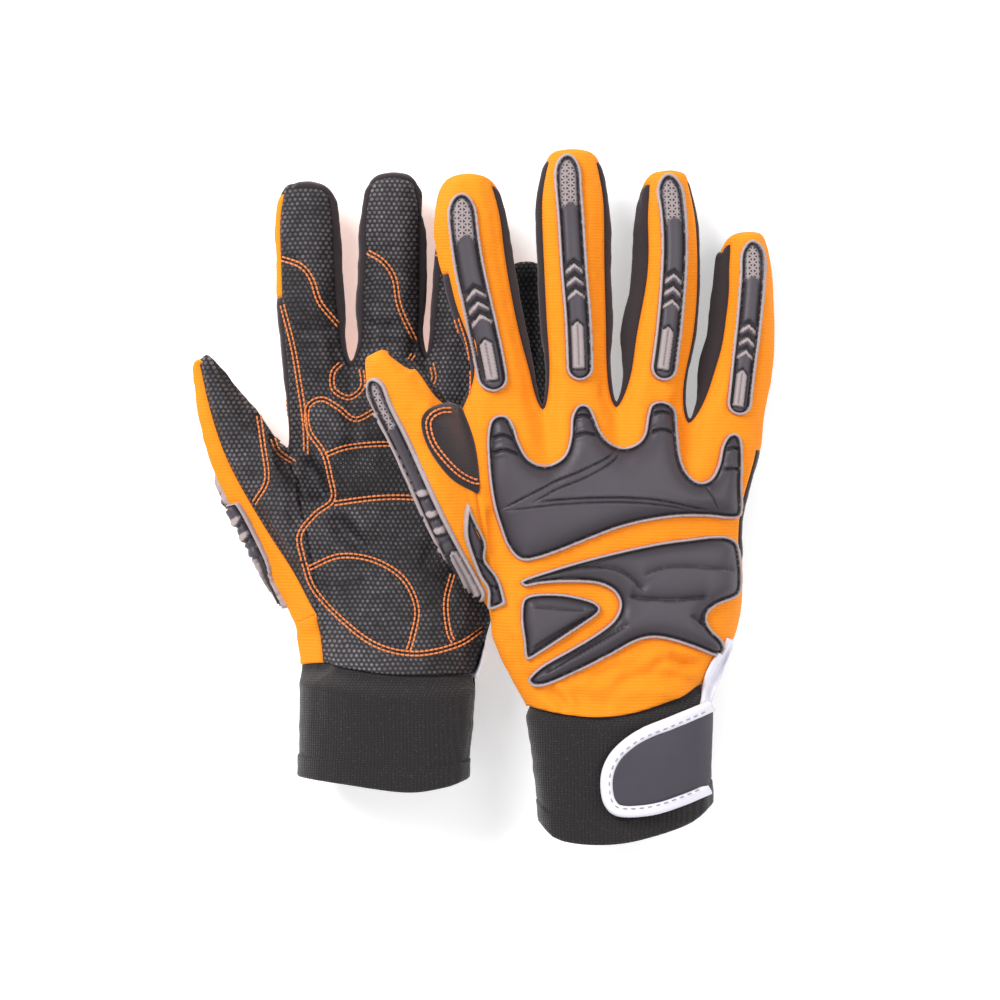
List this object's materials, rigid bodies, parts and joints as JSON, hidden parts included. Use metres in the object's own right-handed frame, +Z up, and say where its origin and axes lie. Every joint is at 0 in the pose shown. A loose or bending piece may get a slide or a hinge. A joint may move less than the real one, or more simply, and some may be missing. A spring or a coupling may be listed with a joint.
{
  "type": "work gloves",
  "caption": "Pair of mechanic's work gloves with rubber guards on the back, padded grip palms and tab-closed elastic cuffs, lying as a pair.",
  "frame": {"origin": "middle of the pair's box in plan, on the surface the pair lies on", "axes": "+Z up, +Y towards the fingertips, +X towards the right glove's little finger"},
  "size_m": [0.2124, 0.2494, 0.0669],
  "materials": {
    "orange_knit": "fine ribbed stretch knit, matt",
    "dotted_leather": "synthetic leather with raised grip dots, satin",
    "black_fabric": "brushed stretch fabric, matt",
    "guard_rubber": "moulded soft rubber, satin, grey rims and ridges",
    "cuff_elastic": "woven elastic, matt",
    "tab_rubber": "smooth moulded rubber, satin",
    "white_binding": "folded binding tape, stitched",
    "hook_and_loop": "hook and loop tape",
    "pad_foam": "closed-cell foam"
  },
  "bodies": {
    "left_glove": {"left_back_panel": "orange_knit", "left_cuff_band": "cuff_elastic", "left_finger_guard_index": "guard_rubber", "left_finger_guard_little": "guard_rubber", "left_finger_guard_middle": "guard_rubber", "left_finger_guard_ring": "guard_rubber", "left_fourchette_index_middle": "black_fabric", "left_fourchette_middle_ring": "black_fabric", "left_fourchette_ring_little": "black_fabric", "left_index_side_panel": "black_fabric", "left_knuckle_guard": "guard_rubber", "left_little_side_panel": "black_fabric", "left_loop_patch": "hook_and_loop", "left_metacarpal_guard": "guard_rubber", "left_palm_pad_heel": "pad_foam", "left_palm_pad_thumb": "pad_foam", "left_palm_pad_upper": "pad_foam", "left_palm_panel": "dotted_leather", "left_slit_binding": "white_binding", "left_thumb_back": "orange_knit", "left_thumb_guard": "guard_rubber", "left_thumb_palm": "dotted_leather", "left_triangle_guard": "guard_rubber", "left_web_guard": "guard_rubber", "left_web_patch": "black_fabric"},
    "left_tab": {"left_closure_tab": "tab_rubber", "left_tab_binding": "white_binding", "left_hook_patch": "hook_and_loop"},
    "right_glove": {"right_back_panel": "orange_knit", "right_cuff_band": "cuff_elastic", "right_finger_guard_index": "guard_rubber", "right_finger_guard_little": "guard_rubber", "right_finger_guard_middle": "guard_rubber", "right_finger_guard_ring": "guard_rubber", "right_fourchette_index_middle": "black_fabric", "right_fourchette_middle_ring": "black_fabric", "right_fourchette_ring_little": "black_fabric", "right_index_side_panel": "black_fabric", "right_knuckle_guard": "guard_rubber", "right_little_side_panel": "black_fabric", "right_loop_patch": "hook_and_loop", "right_metacarpal_guard": "guard_rubber", "right_palm_pad_heel": "pad_foam", "right_palm_pad_thumb": "pad_foam", "right_palm_pad_upper": "pad_foam", "right_palm_panel": "dotted_leather", "right_slit_binding": "white_binding", "right_thumb_back": "orange_knit", "right_thumb_guard": "guard_rubber", "right_thumb_palm": "dotted_leather", "right_triangle_guard": "guard_rubber", "right_web_guard": "guard_rubber", "right_web_patch": "black_fabric"},
    "right_tab": {"right_closure_tab": "tab_rubber", "right_tab_binding": "white_binding", "right_hook_patch": "hook_and_loop"}
  },
  "joints": [
    {"name": "left_tab_hinge", "type": "hinge", "parent": "left_glove", "child": "left_tab", "pos_m": [-0.01, -0.084, 0.0032], "axis": [0, 1, 0], "range_deg": [-178, 0]},
    {"name": "right_glove_lift", "type": "slide", "parent": "left_glove", "child": "right_glove", "axis": [0, 0, 1], "range_m": [0, 0.15]},
    {"name": "right_tab_hinge", "type": "hinge", "parent": "right_glove", "child": "right_tab", "pos_m": [0.0795, -0.09, 0.037], "axis": [0, 1, 0], "range_deg": [0, 150]}
  ]
}
